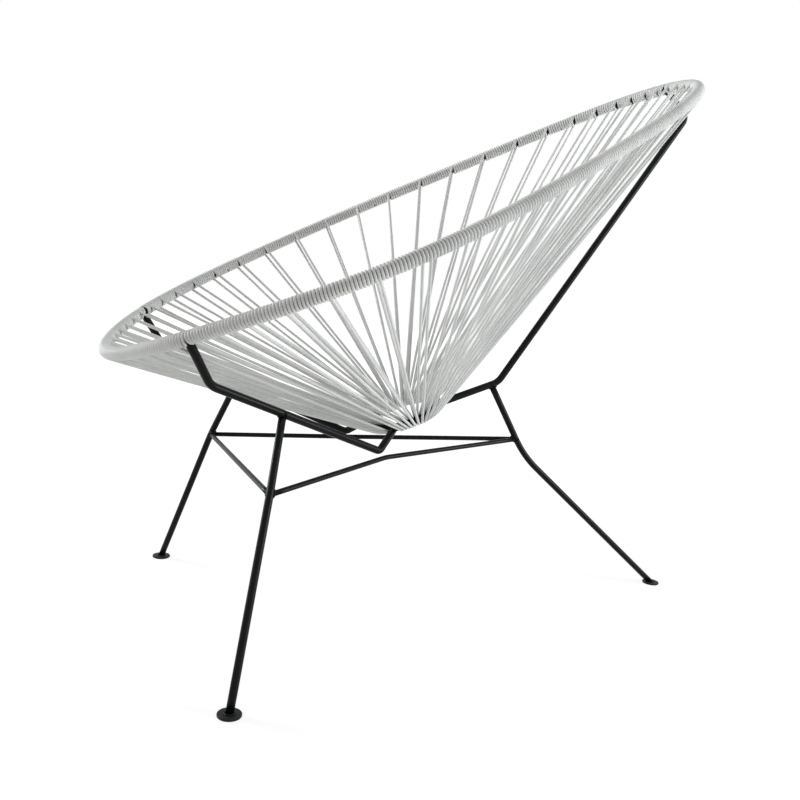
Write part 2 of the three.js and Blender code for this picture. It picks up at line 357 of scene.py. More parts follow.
class NodeBoard:
    """Short ways to place and wire shader nodes."""

    def __init__(self, tree: bpy.types.NodeTree) -> None:
        """Starts on an empty tree."""
        self.tree = tree
        tree.nodes.clear()

    def put(self, kind: str, values: dict | None = None, **settings: object) -> bpy.types.Node:
        """Places a node.

        Args:
            kind: The node's type, without the ShaderNode before it if it has that.
            values: Input values by socket name or number.
            settings: Properties of the node itself.

        Returns:
            The new node.
        """
        prefixed = kind if kind.startswith("NodeGroup") else f"ShaderNode{kind}"
        node = self.tree.nodes.new(prefixed)
        for name, value in settings.items():
            setattr(node, name, value)
        for socket, value in (values or {}).items():
            node.inputs[socket].default_value = value
        return node

    def wire(
        self, source: bpy.types.Node, output: str | int, target: bpy.types.Node, entry: str | int
    ) -> None:
        """Links a node's output to another node's input."""
        self.tree.links.new(source.outputs[output], target.inputs[entry])


@dataclass(frozen=True)
class NoiseLayer:
    """One scale of unevenness."""

    name: str
    scale: float
    detail: float
    roughness: float
    distortion: float = 0.0


@dataclass(frozen=True)
class UnevenSurface:
    """Shared effect: slow drift of tone, a fine grain and sparse marks of handling."""

    name: str = "uneven_surface"
    marks_from: float = 0.58
    marks_full: float = 0.74
    layers: tuple[NoiseLayer, ...] = (
        NoiseLayer("Drift", 6.0, 3.0, 0.55),
        NoiseLayer("Grain", 500.0, 2.0, 0.6),
        NoiseLayer("Marks", 60.0, 5.0, 0.7, 0.4),
    )

    def tree(self) -> bpy.types.NodeTree:
        """Builds the node group, once.

        Returns:
            The group's tree, with Drift, Grain and Marks as outputs.
        """
        if self.name in bpy.data.node_groups:
            return bpy.data.node_groups[self.name]
        tree = bpy.data.node_groups.new(self.name, "ShaderNodeTree")
        sockets = tree.interface
        for layer in self.layers:
            made = sockets.new_socket(
                f"{layer.name} Scale", in_out="INPUT", socket_type="NodeSocketFloat"
            )
            made.default_value = layer.scale
        for layer in self.layers:
            sockets.new_socket(layer.name, in_out="OUTPUT", socket_type="NodeSocketFloat")
        board = NodeBoard(tree)
        entry = board.put("NodeGroupInput")
        leave = board.put("NodeGroupOutput")
        place = board.put("TexCoord")
        noises = {}
        for layer in self.layers:
            noise = board.put(
                "TexNoise",
                {
                    "Detail": layer.detail,
                    "Roughness": layer.roughness,
                    "Distortion": layer.distortion,
                },
            )
            board.wire(place, "Object", noise, "Vector")
            board.wire(entry, f"{layer.name} Scale", noise, "Scale")
            noises[layer.name] = noise
        sparse = board.put("MapRange", {"From Min": self.marks_from, "From Max": self.marks_full})
        board.wire(noises["Marks"], "Fac", sparse, "Value")
        board.wire(noises["Drift"], "Fac", leave, "Drift")
        board.wire(noises["Grain"], "Fac", leave, "Grain")
        board.wire(sparse, "Result", leave, "Marks")
        return tree


@dataclass(frozen=True)
class Finish:
    """A finish whose tone, gloss and relief come from the shared uneven surface."""

    name: str
    deep: Triple
    pale: Triple
    worn: Triple
    roughness: Pair
    grain_scale: float
    grain_height: float
    drift_scale: float
    marks_scale: float
    marks_share: float
    specular: float = 0.1
    drift_low: float = 0.3
    drift_high: float = 0.7

    def material(self) -> bpy.types.Material:
        """Builds the material, once.

        Returns:
            The finished material.
        """
        if self.name in bpy.data.materials:
            return bpy.data.materials[self.name]
        made = bpy.data.materials.new(self.name)
        made.use_nodes = True
        board = NodeBoard(made.node_tree)
        surface = board.put(
            "Group",
            {
                "Drift Scale": self.drift_scale,
                "Grain Scale": self.grain_scale,
                "Marks Scale": self.marks_scale,
            },
            node_tree=UnevenSurface().tree(),
        )
        spread = {"From Min": self.drift_low, "From Max": self.drift_high}
        tone = board.put("MapRange", spread)
        blend = board.put(
            "Mix", {MIX_A: (*self.deep, 1), MIX_B: (*self.pale, 1)}, data_type="RGBA"
        )
        wear = board.put("Mix", {MIX_B: (*self.worn, 1)}, data_type="RGBA")
        worn_share = board.put("Math", {1: self.marks_share}, operation="MULTIPLY")
        smoothest, roughest = self.roughness
        gloss = board.put("MapRange", {**spread, "To Min": smoothest, "To Max": roughest})
        relief = board.put("Bump", {"Strength": 1.0, "Distance": self.grain_height})
        shader = board.put("BsdfPrincipled", {"Specular IOR Level": self.specular})
        out = board.put("OutputMaterial")
        board.wire(surface, "Drift", tone, "Value")
        board.wire(tone, "Result", blend, MIX_SHARE)
        board.wire(blend, MIX_RESULT, wear, MIX_A)
        board.wire(surface, "Marks", worn_share, 0)
        board.wire(worn_share, 0, wear, MIX_SHARE)
        board.wire(wear, MIX_RESULT, shader, "Base Color")
        board.wire(surface, "Drift", gloss, "Value")
        board.wire(gloss, "Result", shader, "Roughness")
        board.wire(surface, "Grain", relief, "Height")
        board.wire(relief, "Normal", shader, "Normal")
        board.wire(shader, 0, out, "Surface")
        return made


POWDER_COAT = Finish(
    name="powder_coat",
    deep=(0.0030, 0.0032, 0.0036),
    pale=(0.0050, 0.0053, 0.0060),
    worn=(0.012, 0.0125, 0.0135),
    roughness=(0.28, 0.38),
    grain_scale=900.0,
    grain_height=0.00012,
    drift_scale=9.0,
    marks_scale=70.0,
    marks_share=0.5,
)

FOOT_COAT = Finish(
    name="foot_coat",
    deep=(0.012, 0.013, 0.014),
    pale=(0.018, 0.019, 0.021),
    worn=(0.045, 0.045, 0.046),
    roughness=(0.42, 0.56),
    grain_scale=800.0,
    grain_height=0.00012,
    drift_scale=25.0,
    marks_scale=160.0,
    marks_share=0.8,
)

CORD_PLASTIC = Finish(
    name="cord_plastic",
    deep=(0.62, 0.63, 0.625),
    pale=(0.72, 0.73, 0.72),
    worn=(0.54, 0.54, 0.53),
    roughness=(0.36, 0.5),
    grain_scale=1400.0,
    grain_height=0.00005,
    drift_scale=14.0,
    marks_scale=45.0,
    marks_share=0.35,
)


@dataclass(frozen=True)
class RimLine:
    """Centre line of the rim's rod: sums of a few waves round the loop from the front over +X."""

    half_width: float = 0.340
    half_length: float = 0.421
    front_height: float = 0.377
    back_height: float = 0.842
    forward_shift: float = FORWARD_SHIFT
    width_shares: tuple[float, ...] = (1, 0.013, 0.011, -0.015, 0.01)
    length_shares: tuple[float, ...] = (-0.093, -0.961, 0.086, -0.039, 0.007)
    rise_shares: tuple[float, ...] = (0.45, -0.475, 0.048, -0.023, 0.002, -0.002)
    samples: int = 7200

    def __post_init__(self) -> None:
        """Measures the loop once, so that places can be asked for by length."""
        turns = np.linspace(0, 1, self.samples + 1)
        points = self._places(turns)
        steps = np.linalg.norm(np.diff(points, axis=0), axis=1)
        lengths = np.concatenate([[0], np.cumsum(steps)])
        object.__setattr__(self, "_turns", turns)
        object.__setattr__(self, "_lengths", lengths)
        object.__setattr__(self, "length", float(lengths[-1]))

    def _places(self, turns: Array) -> Array:
        """Points of the loop at shares of a turn.

        Args:
            turns: Shares of a turn from the front tip.

        Returns:
            The points, one a row.
        """
        angles = 2 * math.pi * np.asarray(turns)
        wide = sum(share * np.sin((k + 1) * angles) for k, share in enumerate(self.width_shares))
        deep = sum(share * np.cos(k * angles) for k, share in enumerate(self.length_shares))
        rise = sum(share * np.cos(k * angles) for k, share in enumerate(self.rise_shares))
        height = self.front_height + (self.back_height - self.front_height) * rise
        forward = self.half_length * deep - self.forward_shift
        return np.stack([self.half_width * wide, forward, height], axis=-1)

    def at(self, lengths: Array) -> tuple[Array, Array, Array, Array]:
        """Places on the rim, and its directions there.

        Args:
            lengths: Lengths along the rim from the front tip, in metres, over a lap if need be.

        Returns:
            The places, and the directions along, outward and upward, one a row.
        """
        turns = np.interp(np.mod(lengths, self.length), self._lengths, self._turns)
        nudge = 1 / self.samples
        places = self._places(turns)
        along = self._places(turns + nudge) - self._places(turns - nudge)
        along /= np.linalg.norm(along, axis=-1, keepdims=True)
        tilt = unit(vec(0, self.front_height - self.back_height, 2 * self.half_length))
        outward = np.cross(along, tilt)
        outward /= np.linalg.norm(outward, axis=-1, keepdims=True)
        upward = np.cross(outward, along)
        return places, along, outward, upward


@dataclass(frozen=True)
class GatherRing:
    """The small ring under the seat that every pass of cord goes round."""

    radius: float = 0.054
    rod_radius: float = 0.005
    back: float = 0.0085 - FORWARD_SHIFT
    height: float = 0.304
    tilt: float = math.radians(25)
    arm_angle: float = math.radians(50.8)
    segments: int = 120
    sides: int = 24

    @property
    def axis(self) -> Array:
        """The direction that the ring's flat faces, up and forward."""
        return vec(0, -math.sin(self.tilt), math.cos(self.tilt))

    def at(self, angle: float) -> tuple[Array, Array]:
        """A place on the ring, from its front over +X, and the ring's direction there.

        Args:
            angle: Angle from the ring's front, in radians.

        Returns:
            The place and the direction.
        """
        backward = vec(0, math.cos(self.tilt), math.sin(self.tilt))
        outward = vec(math.sin(angle), 0, 0) - backward * math.cos(angle)
        centre = vec(0, self.back, self.height)
        return centre + outward * self.radius, np.cross(self.axis, outward)

    def build(self) -> None:
        """Makes the ring."""
        line = np.array([self.at(angle)[0] for angle in lap_angles(self.segments)])
        skin = Skin().tube(line, self.rod_radius, self.sides, closed=True)
        piece = skin.build("gather_ring", POWDER_COAT.material())
        settle(piece, Slot.FRAME_PAINT, "lower_ring")


@dataclass(frozen=True)
class RimRod:
    """The rod under the winding, seen only between its turns."""

    line: RimLine
    rod_radius: float = 0.005
    segments: int = 360
    sides: int = 20

    def build(self) -> None:
        """Makes the rod as one closed loop."""
        lengths = self.line.length * np.arange(self.segments) / self.segments
        places = self.line.at(lengths)[0]
        skin = Skin().tube(places, self.rod_radius, self.sides, closed=True)
        settle(skin.build("rim_bar", POWDER_COAT.material()), Slot.FRAME_PAINT, "rim_rod")


@dataclass
class CordShell:
    """The cord: close turns round the rim, and at each station a pass down to the ring and back."""

    line: RimLine
    ring: GatherRing
    cord_radius: float = 0.002
    wound_radius: float = 0.0019
    turn_radius: float = 0.00702
    loop_radius: float = 0.00706
    turn_goal: float = 0.00411
    weld_room: float = 0.003
    weld_spread: float = 3.0
    weld_lean: float = 0.0042
    lean_turns: int = 10
    lean_power: float = 1.1
    inward_power: float = 0.8
    station_count: int = 60
    arm_station: int = 8
    arm_offset_share: float = 0.1
    tip_spacing_share: float = 0.44
    spacing_rise: Pair = (0.22, 0.53)
    spacing_fall: Pair = (0.71, 0.94)
    spacing_steps: int = 600
    arm_to_front_cord: float = 0.0013
    arm_to_side_cord: float = 0.0006
    inner_angle: float = math.radians(225)
    points_a_turn: int = 14
    samples_a_turn: int = 8
    loop_points: int = 11
    strand_points: int = 9
    near_ends: tuple[float, ...] = (0.0025, 0.0055, 0.010, 0.018)
    sides: int = 8
    end_bevel: float = 0.0006
    end_gap_turns: float = 0.04
    steepest_slope: float = 0.9
    sharpest_kink: float = math.radians(29)
    easing_rounds: int = 2
    unevenness: float = 0.00006
    waver_rates: Pair = (2.399, 0.731)
    waver_start: float = 1.3
    slack: float = 0.0012
    least_sag: float = 0.2
    most_sway: float = 0.4
    seed: int = 11
    edges: tuple[tuple[str, int, int], ...] = (
        ("front_right", -8, -3),
        ("front_middle", -3, 3),
        ("front_left", 3, 8),
        ("left_1", 8, 13),
        ("left_2", 13, 18),
        ("left_3", 18, 24),
        ("left_4", 24, 30),
        ("right_4", 30, 36),
        ("right_3", 36, 42),
        ("right_2", 42, 47),
        ("right_1", 47, 52),
    )

    def __post_init__(self) -> None:
        """Sets out the stations and every turn of the winding."""
        self.chance = np.random.default_rng(self.seed)
        self._set_out()

    def _length_share(self, station_share: float) -> float:
        """Share of the half rim's length, from the front tip, at a share of the stations.

        Args:
            station_share: Share of the stations of one side, from the front.

        Returns:
            The share of the length.
        """
        steps = np.arange(self.spacing_steps)
        at = (steps + 0.5) / self.spacing_steps

        def smooth(low: float, high: float) -> Array:
            """A smooth step from nought to one between two shares."""
            part = np.clip((at - low) / (high - low), 0, 1)
            return part * part * (3 - 2 * part)

        bulge = smooth(*self.spacing_rise) * (1 - smooth(*self.spacing_fall))
        spacing = self.tip_spacing_share + (1 - self.tip_spacing_share) * bulge
        reached = np.clip(station_share * self.spacing_steps - steps, 0, 1)
        return float((spacing * reached).sum() / spacing.sum())

    def _side_passes(self, first_station: float) -> tuple[Array, bool]:
        """Where the turns of one side pass the rim's inner side, from the front tip to the back.

        A turn is whole between stations, and the turns open by the weld room at each of the
        three arms, so the pitch before and after the front arms is fitted to whole turns.

        Args:
            first_station: Length along the rim from the front tip to the first station.

        Returns:
            The lengths along the rim, and whether the first of them is at the front tip itself.
        """
        front_run = self.arm_length - self.weld_room / 2
        back_start = self.arm_length + self.weld_room / 2
        back_run = self.line.length / 2 - self.weld_room / 2 - back_start
        first = round(2 * first_station / self.turn_goal)
        turns = round(2 * front_run / self.turn_goal)
        if (turns - first) % 2 == 0:
            turns += 1
        front_pitch = 2 * front_run / turns
        back_turns = round(back_run / self.turn_goal)
        back_pitch = back_run / back_turns
        phase = (first % 2) / 2
        front = (np.arange(math.ceil(turns / 2)) + phase) * front_pitch
        front = front[front < front_run - front_pitch / 4]
        back = back_start + (np.arange(back_turns) + 0.5) * back_pitch
        log.info("winding: pitch %.3f and %.3f mm", front_pitch * 1e3, back_pitch * 1e3)
        return np.concatenate([front, back]), phase == 0

    def _set_out(self) -> None:
        """Finds where each turn passes the rim's inner side, and which of these a station takes."""
        half_count = self.station_count // 2
        half = self.line.length / 2
        near = [half * self._length_share((k + 0.5) / half_count) for k in range(half_count)]
        before, after = near[self.arm_station - 1], near[self.arm_station]
        self.arm_length = before + (0.5 + self.arm_offset_share) * (after - before)
        side, starts_at_tip = self._side_passes(near[0])
        other = self.line.length - side[::-1]
        passes = np.concatenate([side, other[:-1] if starts_at_tip else other])
        self.total = len(passes)
        log.info("winding: %d turns", self.total)
        first_half = [int(np.argmin(abs(passes - place))) for place in near]
        tip = 0 if starts_at_tip else -1
        self.station_pass = first_half + [self.total + tip - k for k in reversed(first_half)]
        laps = np.arange(-1, 3)
        self.pass_turns = (np.arange(self.total)[None, :] + self.total * laps[:, None]).ravel()
        self.pass_lengths = (passes[None, :] + self.line.length * laps[:, None]).ravel()
        self._spread_outer_side()
        self._lean_from_arms(laps)

    def _spread_outer_side(self) -> None:
        """Spreads the turns over each weld's gap on the rim's outer side, where none shows."""
        samples = 3 * self.total * self.samples_a_turn + 1
        self.sampled_turns = np.linspace(-self.total, 2 * self.total, samples)
        inner = np.interp(self.sampled_turns, self.pass_turns, self.pass_lengths)
        reach = max(1, round(self.weld_spread * self.samples_a_turn))
        window = np.ones(2 * reach + 1) / (2 * reach + 1)
        self.outer_lengths = inner.copy()
        self.outer_lengths[reach:-reach] = np.convolve(inner, window, mode="valid")

    def _lean_from_arms(self, laps: Array) -> None:
        """Leans the turns beside each arm away from its weld, the nearest ones most.

        Args:
            laps: The laps that the turns are repeated on.
        """
        self.pass_leans = np.zeros(len(self.pass_lengths))
        arms = [self.arm_length, self.line.length / 2, self.line.length - self.arm_length]
        for arm in (place + self.line.length * lap for place in arms for lap in laps):
            after = int(np.searchsorted(self.pass_lengths, arm))
            for step in range(self.lean_turns):
                lean = self.weld_lean * (1 - step / self.lean_turns)
                for number, sign in ((after + step, 1), (after - 1 - step, -1)):
                    if 0 <= number < len(self.pass_leans):
                        self.pass_leans[number] = sign * lean

    def _rim_point(self, turns: Array) -> Array:
        """Points of the winding at turns counted from the front tip; whole turns lie innermost.

        Args:
            turns: The turns, whole or in part.

        Returns:
            The points, one a row.
        """
        angles = self.inner_angle + 2 * math.pi * turns
        inner = np.interp(turns, self.pass_turns, self.pass_lengths)
        outer = np.interp(turns, self.sampled_turns, self.outer_lengths)
        inward = 0.5 + 0.5 * np.cos(angles - self.inner_angle)
        share = inward**self.inward_power
        lean = np.interp(turns, self.pass_turns, self.pass_leans) * inward**self.lean_power
        places, _, outward, upward = self.line.at(share * inner + (1 - share) * outer + lean)
        fast, slow = self.waver_rates
        waver = np.sin(turns * fast) + np.sin(turns * slow + self.waver_start)
        radius = (self.turn_radius + self.unevenness * waver)[:, None]
        angles = angles[:, None]
        return places + radius * (outward * np.cos(angles) + upward * np.sin(angles))

    def _ring_angle(self, station: float) -> float:
        """Angle on the ring where a station's cord goes round it, clear of the three arms.

        Args:
            station: The station, counted from the front tip over +X.

        Returns:
            The angle from the ring's front, in radians.
        """
        half_count = self.station_count / 2
        lap = station - self.station_count if station > half_count else station
        side = abs(lap)
        reach = self.ring.rod_radius + self.cord_radius
        front_window = (reach + self.arm_to_front_cord) / self.ring.radius
        side_window = (reach + self.arm_to_side_cord) / self.ring.radius
        if side < self.arm_station:
            angle = (self.ring.arm_angle - front_window) * side / (self.arm_station - 0.5)
        else:
            part = (side - self.arm_station - 0.5) / (half_count - self.arm_station - 1)
            start = self.ring.arm_angle + side_window
            angle = start + part * (math.pi - side_window - start)
        return math.copysign(angle, lap)

    def _station(self, index: int) -> tuple[float, float, Array]:
        """One pass of cord from the rim's upper side round the ring to the rim's under side.

        Args:
            index: The station, counted from the front tip over +X.

        Returns:
            The turn at which the cord leaves the rim, the turn at which it comes back,
            and the points between.
        """
        lap, number = divmod(index, self.station_count)
        turn = self.station_pass[number] + lap * self.total
        length = float(np.interp(turn, self.pass_turns, self.pass_lengths))
        places, along, outward, upward = (row[0] for row in self.line.at(np.array([length])))
        place, ring_along = self.ring.at(self._ring_angle(number + 0.5))
        to_rim = unit(places - place)
        flat = across(to_rim, ring_along)
        over = unit(np.cross(flat, ring_along))
        if over @ self.ring.axis < 0:
            over = -over
        over_rim = unit(np.cross(across(to_rim, along), along))
        if over_rim @ over < 0:
            over_rim = -over_rim
        leave_angle = math.atan2(float(over_rim @ upward), float(over_rim @ outward))
        leave = turn - ((self.inner_angle - leave_angle) / (2 * math.pi)) % 1
        arrive = turn + ((leave_angle + math.pi - self.inner_angle) / (2 * math.pi)) % 1
        ends = self._rim_point(np.array([leave, arrive]))
        slope = float((to_rim @ ring_along) / (to_rim @ flat))
        slope = float(np.clip(slope, -self.steepest_slope, self.steepest_slope))
        loop = []
        for angle in np.linspace(0, math.pi, self.loop_points):
            around = over * math.cos(angle) - flat * math.sin(angle)
            drift = -ring_along * slope * math.sin(angle)
            loop.append(place + self.loop_radius * (around + drift))
        down = self._strand(ends[0], loop[0])
        rise = self._strand(loop[-1], ends[1])
        return leave, arrive, np.vstack([down, loop, rise])

    def _strand(self, start: Array, end: Array) -> Array:
        """Points strictly between a strand's two ends, hardly off the straight line.

        Args:
            start: Where the strand starts.
            end: Where it ends.

        Returns:
            The points, one a row.
        """
        span = float(np.linalg.norm(end - start))
        close = np.array(self.near_ends)
        even = np.linspace(0, 1, self.strand_points + 2)[1:-1]
        shares = np.sort(np.concatenate([close / span, even, 1 - close[::-1] / span]))
        sag = self.chance.uniform(self.least_sag, 1.0) * self.slack
        side = across(np.cross(UP, unit(end - start)), unit(end - start))
        wave = self.chance.uniform(-self.most_sway, self.most_sway) * self.slack
        points = start + (end - start) * shares[:, None]
        points -= UP * (sag * 4 * shares * (1 - shares))[:, None]
        return points + side * (wave * np.sin(2 * math.pi * shares))[:, None]

    def _edge_turn(self, edge: int) -> float:
        """The turn, at the rim's inner side, where one length of cord ends and the next begins.

        Args:
            edge: The edge, counted in stations from the front tip.

        Returns:
            The turn, from the front tip.
        """
        lap, number = divmod(edge, self.station_count)
        before = self.station_pass[number - 1] - (self.total if number == 0 else 0)
        after = self.station_pass[number]
        return (before + after) // 2 + lap * self.total

    def path(self, first: int, last: int) -> tuple[Array, Array]:
        """The centre line of one length of cord, which is stretched thinner round the rim.

        Args:
            first: The edge where it starts.
            last: The edge where it ends.

        Returns:
            Its points, from its start to its end, and its radius at each.
        """
        parts = []
        turn = self._edge_turn(first) + self.end_gap_turns
        for index in range(first, last):
            leave, arrive, between = self._station(index)
            parts += [self._turns(turn, leave), between]
            turn = arrive
        parts.append(self._turns(turn, self._edge_turn(last) - self.end_gap_turns))
        points = np.vstack(parts)
        kinds = (self.wound_radius, self.cord_radius)
        radii = np.concatenate([np.full(len(part), kinds[k % 2]) for k, part in enumerate(parts)])
        radii[1:-1] = (radii[:-2] + radii[1:-1] + radii[2:]) / 3
        for _ in range(self.easing_rounds):
            eased = 0.25 * points[:-2] + 0.5 * points[1:-1] + 0.25 * points[2:]
            steps = np.diff(points, axis=0)
            steps /= np.linalg.norm(steps, axis=1)[:, None]
            straightness = np.einsum("ij,ij->i", steps[:-1], steps[1:])
            kinked = straightness < math.cos(self.sharpest_kink)
            points[1:-1][kinked] = eased[kinked]
        return points, radii

    def _turns(self, start: float, end: float) -> Array:
        """Points of the winding from one turn to another."""
        count = max(2, math.ceil((end - start) * self.points_a_turn) + 1)
        return self._rim_point(np.linspace(start, end, count))

    def build(self) -> None:
        """Makes each length of cord and logs how long it is."""
        for name, first, last in self.edges:
            points, radii = self.path(first, last)
            length = float(np.linalg.norm(np.diff(points, axis=0), axis=1).sum())
            skin = Skin().tube(points, radii, self.sides, bevel=self.end_bevel)
            piece = skin.build(f"wound_{name}", CORD_PLASTIC.material())
            settle(piece, Slot.SEAT_CORD, f"cord_{name}")
            log.info("cord %s: %.2f m", name, length)


@dataclass
class WeldedFrame:
    """Arms, legs and stretchers: round rods bent to shape and welded end to side."""

    line: RimLine
    ring: GatherRing
    shell: CordShell
    rod_radius: float = 0.005
    arm_radius: float = 0.0054
    thin_radius: float = 0.0035
    fit_gap: float = 0.0003
    end_bevel: float = 0.0006
    longest_step: float = 0.03
    bend_steps: int = 20
    sides: int = 28
    elbow_offset: Triple = (-0.0327, 0.0353, -0.0569)
    elbow_bend: float = 0.030
    heel_offset: Triple = (0.0287, -0.034, -0.0297)
    heel_bend: float = 0.011
    back_tail: float = 0.008
    back_elbow_offset: Triple = (0.0, 0.1041, 0.0377)
    back_elbow_bend: float = 0.030
    back_head_offset: Triple = (0.0, 0.049, -0.036)
    back_head_bend: float = 0.014
    front_leg_share: float = 0.3825
    knee_offset: Triple = (0.0509, -0.0244, -0.0906)
    knee_bend: float = 0.160
    front_foot_offset: Pair = (0.0876, -0.0542)
    back_leg_share: float = 0.886
    back_knee_offset: Triple = (0.0, 0.0737, -0.1146)
    back_knee_bend: float = 0.200
    back_foot_run: float = 0.2979
    back_stretcher_drop: float = 0.1036
    stretcher_split: float = 0.0015
    stretcher_bow_share: float = 0.46
    stretcher_bow: float = 0.030
    stretcher_lift: float = 0.005
    stretcher_bend: float = 0.060
    foot_top: float = 0.0033
    foot_sink: float = 0.0015

    def __post_init__(self) -> None:
        """Finds the corners that more than one rod needs."""
        places, along, _, _ = self.line.at(np.array([self.shell.arm_length]))
        self.arm_rim, self.arm_rim_along = places[0], along[0]
        self.arm_ring, self.arm_ring_along = self.ring.at(self.ring.arm_angle)
        self.elbow = self.arm_rim + np.array(self.elbow_offset)
        self.heel = self.arm_ring + np.array(self.heel_offset)
        self.back_rim = self.line.at(np.array([self.line.length / 2]))[0][0]
        self.lap = self.ring.at(math.pi)[0]
        self.back_start = self.lap - self.ring.axis * (2 * self.rod_radius + self.fit_gap)
        self.back_elbow = self.back_start + np.array(self.back_elbow_offset)
        self.back_head = self.back_rim + np.array(self.back_head_offset)
        self.leg_head = self.elbow + (self.heel - self.elbow) * self.front_leg_share
        self.knee = self.leg_head + np.array(self.knee_offset)
        spread, forward = self.front_foot_offset
        self.foot = vec(self.knee[0] + spread, self.knee[1] + forward, self.foot_top)
        back_run = self.back_elbow - self.back_start
        self.back_leg_head = self.back_start + back_run * self.back_leg_share
        self.back_knee = self.back_leg_head + np.array(self.back_knee_offset)
        self.back_foot = vec(0, self.back_knee[1] + self.back_foot_run, self.foot_top)

    def _rod(
        self,
        name: str,
        points: Array,
        radius: float,
        node: str,
        bevel: float = 0.0,
        cut: Array | None = None,
    ) -> None:
        """Makes one rod in place of its solid.

        Args:
            name: The rod's name.
            points: Its centre line.
            radius: Its radius.
            node: The solid that it replaces.
            bevel: How much the corners at its ends are rounded.
            cut: The direction that its last end faces, if it is cut aslant.
        """
        line = subdivided(points, self.longest_step)
        skin = Skin().tube(line, radius, self.sides, bevel=bevel, cut=cut)
        settle(skin.build(name, POWDER_COAT.material()), Slot.FRAME_PAINT, node)

    def _pair(
        self,
        name: str,
        points: Array,
        radius: float,
        node: str,
        cut: Array | None = None,
    ) -> None:
        """Makes a rod on the left and its mirror image on the right.

        Args:
            name: The rods' name, without its side.
            points: The left rod's centre line.
            radius: Their radius.
            node: The solids' name, without its side.
            cut: The direction that their last ends face, if they are cut aslant.
        """
        self._rod(f"{name}_left", points, radius, f"{node}_left", cut=cut)
        self._rod(f"{name}_right", mirrored(points), radius, f"{node}_right", cut=cut)

    def _bent(self, corners: list[Array], bends: list[float]) -> Array:
        """A bent line with this frame's smoothness."""
        return bent_line(corners, bends, self.bend_steps)

    def arms(self) -> None:
        """Makes the two front arms and the back arm."""
        front = self._bent(
            [self.arm_rim, self.elbow, self.heel, self.arm_ring], [self.elbow_bend, self.heel_bend]
        )
        self._pair("front_arm_rod", front, self.arm_radius, "front_arm")
        tail = self.back_start - unit(self.back_elbow - self.back_start) * self.back_tail
        back = self._bent(
            [tail, self.back_elbow, self.back_head, self.back_rim],
            [self.back_elbow_bend, self.back_head_bend],
        )
        self._rod("back_arm_rod", back, self.arm_radius, "back_arm", bevel=self.end_bevel)

    def legs(self) -> None:
        """Makes the three legs, down into their foot discs."""
        level = -UP
        sink = level * self.foot_sink
        front = self._bent([self.leg_head, self.knee, self.foot + sink], [self.knee_bend])
        self._pair("front_leg_rod", front, self.rod_radius, "front_leg", cut=level)
        back = self._bent(
            [self.back_leg_head, self.back_knee, self.back_foot + sink], [self.back_knee_bend]
        )
        self._rod("back_leg_rod", back, self.rod_radius, "back_leg", cut=level)
        middle = len(front) // 2
        self.front_meet = front[middle]
        self.front_meet_run = unit(front[middle + 1] - front[middle - 1])
        self.back_leg_run = unit(self.back_knee - self.back_leg_head)
        self.back_meet = self.back_leg_head + self.back_leg_run * self.back_stretcher_drop
        self.back_meet = self.back_meet + vec(self.stretcher_split, 0, 0)

    def stretchers(self) -> None:
        """Makes the two bowed side stretchers and the straight front one."""
        inward = unit(np.cross(UP, unit(self.back_meet - self.front_meet)))
        middle = self.front_meet + (self.back_meet - self.front_meet) * self.stretcher_bow_share
        bow = middle + inward * self.stretcher_bow + UP * self.stretcher_lift
        side = self._bent([self.front_meet, bow, self.back_meet], [self.stretcher_bend])
        self.side_stretcher = side
        self._pair("side_stretcher_rod", side, self.thin_radius, "stretcher")
        front = np.array([self.front_meet, mirrored(self.front_meet)])
        self._rod("front_stretcher_rod", front, self.thin_radius, "stretcher_front")

    def build(self) -> None:
        """Makes every rod of the frame, then the welds between them."""
        self.arms()
        self.legs()
        self.stretchers()
        WeldBeads(self).build()


@dataclass(frozen=True)
class Joint:
    """Where a rod's end meets the side of another rod, which runs past it."""

    name: str
    end: Array
    run: Array
    radius: float
    body: Array
    body_run: Array
    paired: bool = True


